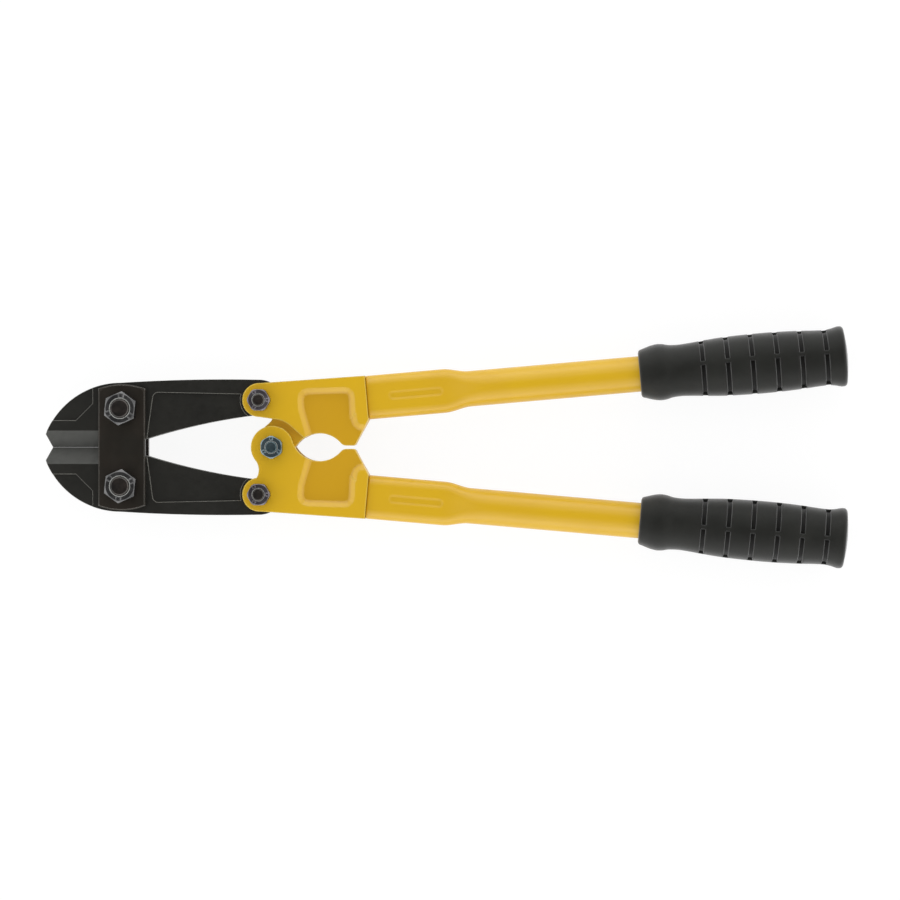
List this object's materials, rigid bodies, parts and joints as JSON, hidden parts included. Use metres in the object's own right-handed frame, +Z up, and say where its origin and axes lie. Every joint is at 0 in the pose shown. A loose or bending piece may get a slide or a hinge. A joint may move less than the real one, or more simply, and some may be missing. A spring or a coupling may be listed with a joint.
{
  "type": "bolt cutters",
  "caption": "Compound-action bolt cutters: forged jaws between side plates, crossed handle heads on tubular handles with ribbed rubber grips.",
  "frame": {"origin": "centre of the tool's plan, at the level that it lies on", "axes": "+X from the jaws towards the grips, +Y across the tool, +Z up through the pivots towards the nuts"},
  "size_m": [0.35, 0.1052, 0.0285],
  "materials": {
    "blade_steel": "forged, blackened, ground edges",
    "plate_steel": "blackened",
    "fastener_steel": "dark plated",
    "zinc_steel": "blue zinc plated",
    "yellow_paint": "semi-gloss enamel",
    "grip_rubber": "matte"
  },
  "bodies": {
    "side_plates": {"front_plate": "plate_steel", "rear_plate": "plate_steel", "upper_blade_bolt": "fastener_steel", "lower_blade_bolt": "fastener_steel", "upper_blade_nut": "fastener_steel", "lower_blade_nut": "fastener_steel"},
    "upper_jaw": {"upper_jaw": "blade_steel"},
    "lower_jaw": {"lower_jaw": "blade_steel"},
    "upper_handle": {"upper_head": "yellow_paint", "upper_tube": "yellow_paint", "upper_grip": "grip_rubber", "upper_pivot_bolt": "fastener_steel", "upper_pivot_nut": "fastener_steel"},
    "lower_handle": {"lower_head": "yellow_paint", "lower_tube": "yellow_paint", "lower_grip": "grip_rubber", "lower_pivot_bolt": "fastener_steel", "lower_pivot_nut": "fastener_steel", "centre_bolt": "fastener_steel", "centre_nut": "zinc_steel"}
  },
  "joints": [
    {"name": "upper_jaw_hinge", "type": "hinge", "parent": "side_plates", "child": "upper_jaw", "pos_m": [-0.1411, 0.0169, 0.01315], "axis": [0, 0, -1], "range_deg": [0, 9.5]},
    {"name": "lower_jaw_hinge", "type": "hinge", "parent": "side_plates", "child": "lower_jaw", "pos_m": [-0.1411, -0.0169, 0.01315], "axis": [0, 0, 1], "range_deg": [0, 9.5]},
    {"name": "upper_handle_hinge", "type": "hinge", "parent": "upper_jaw", "child": "upper_handle", "pos_m": [-0.081, 0.0206, 0.01315], "axis": [0, 0, 1], "range_deg": [0, 57]},
    {"name": "lower_handle_hinge", "type": "hinge", "parent": "lower_jaw", "child": "lower_handle", "pos_m": [-0.081, -0.0206, 0.01315], "axis": [0, 0, -1], "range_deg": [0, 57]}
  ],
  "couplings": [
    {"joint": "upper_jaw_hinge", "follows": "upper_handle_hinge", "ratio": 0.16667},
    {"joint": "lower_jaw_hinge", "follows": "upper_handle_hinge", "ratio": 0.16667},
    {"joint": "lower_handle_hinge", "follows": "upper_handle_hinge", "ratio": 1}
  ]
}
